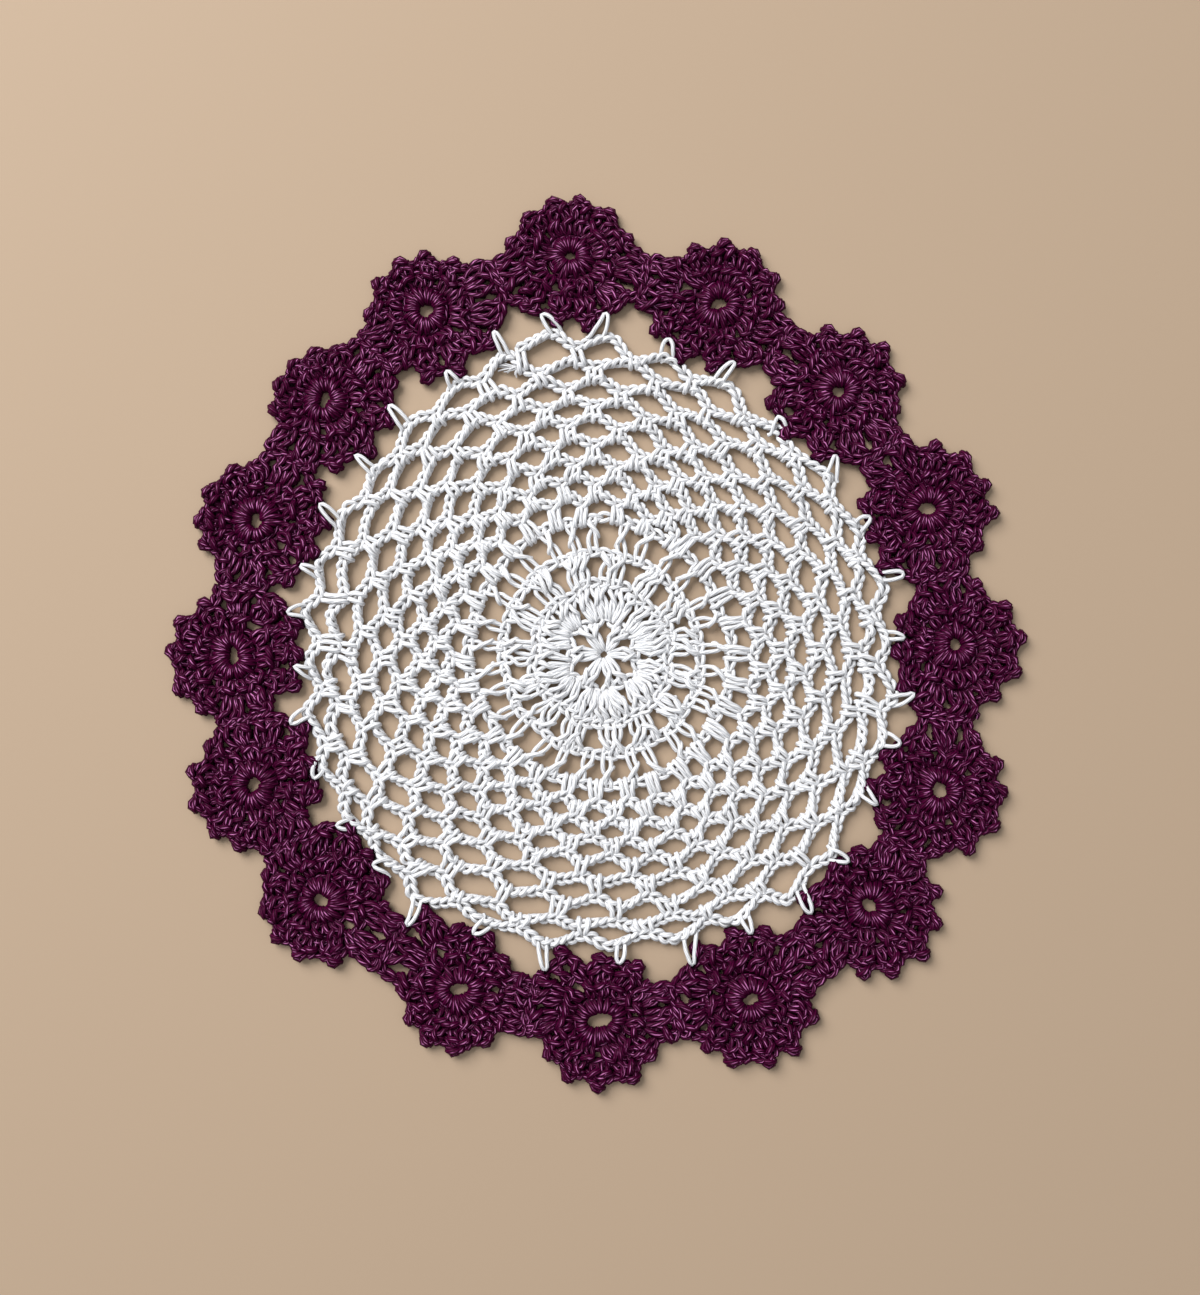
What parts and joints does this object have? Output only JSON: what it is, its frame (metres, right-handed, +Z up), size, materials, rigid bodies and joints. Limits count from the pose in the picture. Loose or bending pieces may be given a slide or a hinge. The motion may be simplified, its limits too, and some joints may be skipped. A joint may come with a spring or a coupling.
{
  "type": "lace doily",
  "caption": "Round crocheted lace doily: an open white net centre inside a scalloped ring of joined plum motifs, lying flat.",
  "frame": {"origin": "middle of the first ring of stitches, on the underside", "axes": "+Z up, square to the doily; +Y towards the motif at the top of the usual view; +X to its right"},
  "size_m": [0.2539, 0.2654, 0.003],
  "materials": {
    "white_cotton": "soft matte cotton yarn, softly twisted",
    "plum_cotton": "mercerised cotton yarn with a silky sheen"
  },
  "bodies": {
    "root": {"centre": "white_cotton", "motif_01": "plum_cotton", "motif_02": "plum_cotton", "motif_03": "plum_cotton", "motif_04": "plum_cotton", "motif_05": "plum_cotton", "motif_06": "plum_cotton", "motif_07": "plum_cotton", "motif_08": "plum_cotton", "motif_09": "plum_cotton", "motif_10": "plum_cotton", "motif_11": "plum_cotton", "motif_12": "plum_cotton", "motif_13": "plum_cotton", "motif_14": "plum_cotton", "motif_15": "plum_cotton", "motif_16": "plum_cotton"}
  },
  "joints": []
}
